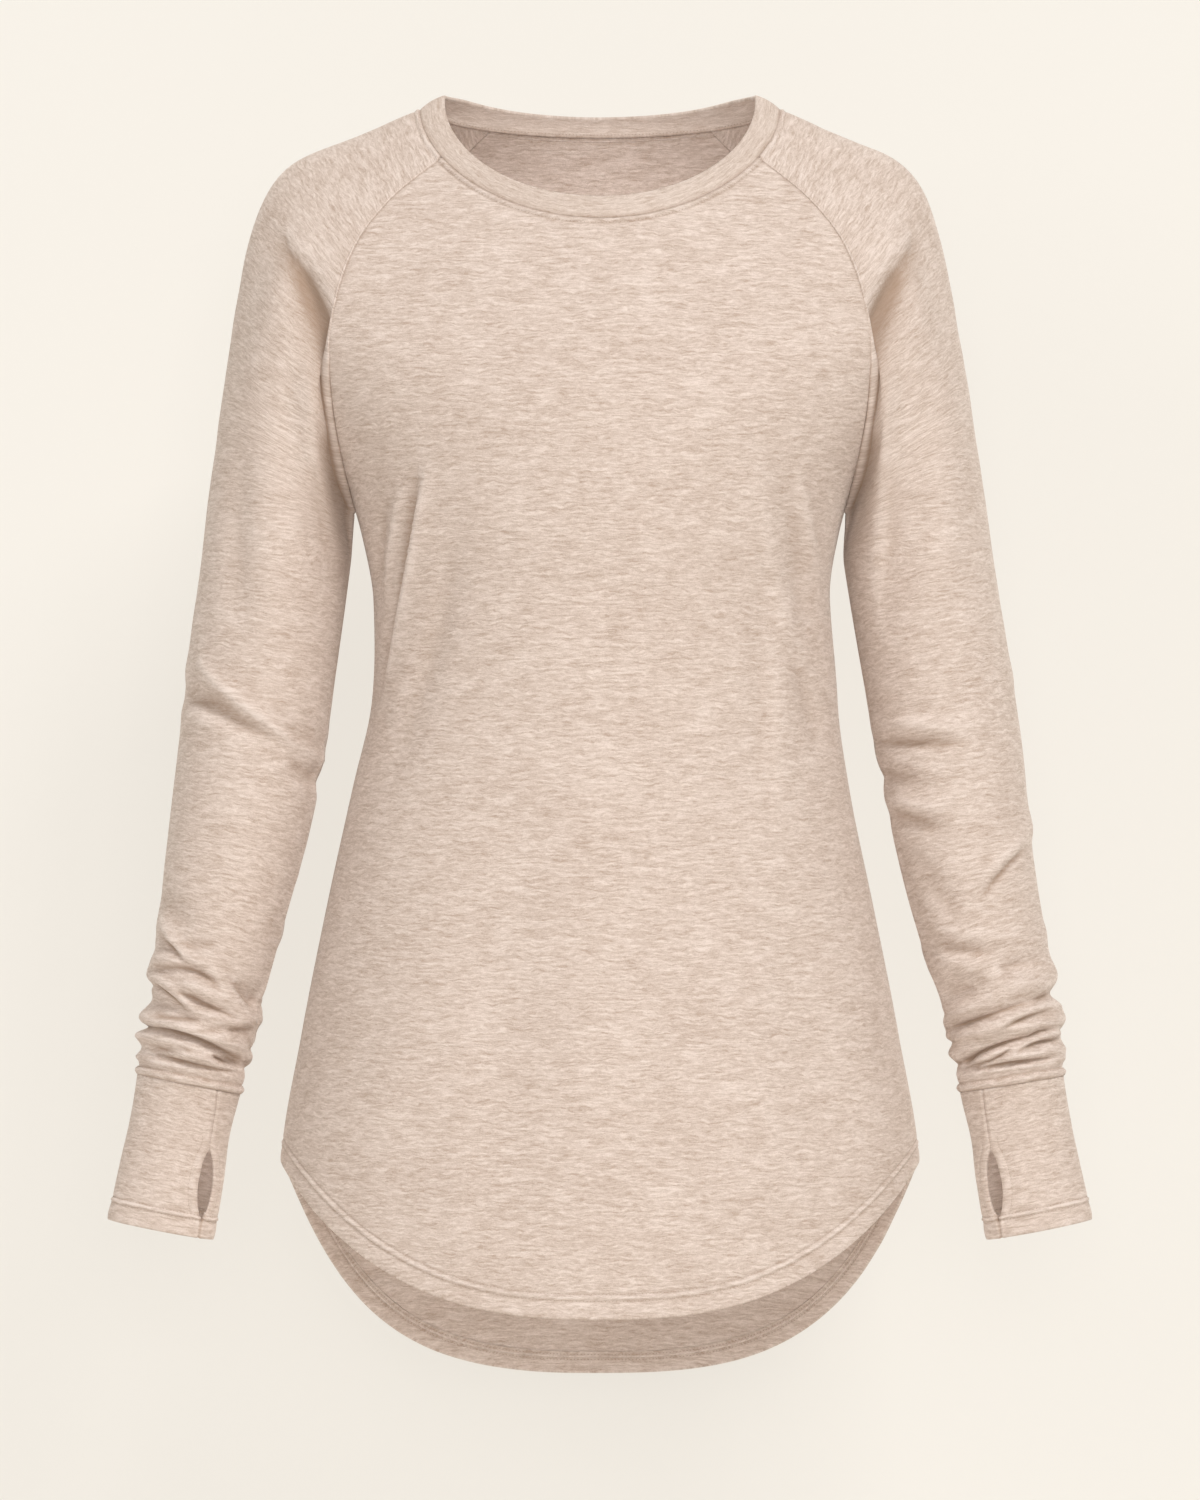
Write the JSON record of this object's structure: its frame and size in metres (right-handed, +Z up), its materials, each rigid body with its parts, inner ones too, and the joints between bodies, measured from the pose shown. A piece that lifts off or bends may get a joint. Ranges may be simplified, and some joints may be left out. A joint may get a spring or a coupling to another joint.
{
  "type": "tunic top",
  "caption": "Long-sleeved raglan tunic top in brushed beige knit, worn with no wearer, with a banded scoop neck, ruched sleeve ends, thumbhole cuffs and a high-low shirt-tail hem",
  "frame": {"origin": "the point between the two places where the neckband seam crosses the shoulders, at the wearer's neck, where the shoulders hold the garment up", "axes": "+Z up along the body, -Y to the garment's front, +X to the wearer's left"},
  "size_m": [0.6372, 0.2641, 0.8444],
  "materials": {
    "brushed_knit": "heathered oatmeal beige, softly brushed face with fine fuzz and short cross-wise streaks, matt",
    "rib_knit": "the same heathered knit folded double and stitched down, matt",
    "sewing_thread": "beige polyester thread, slightly lighter than the knit, soft sheen"
  },
  "bodies": {
    "root": {"front_panel": "brushed_knit", "back_panel": "brushed_knit", "sleeve_left": "brushed_knit", "sleeve_right": "brushed_knit", "cuff_left": "brushed_knit", "cuff_right": "brushed_knit", "neckband": "rib_knit"}
  },
  "joints": []
}
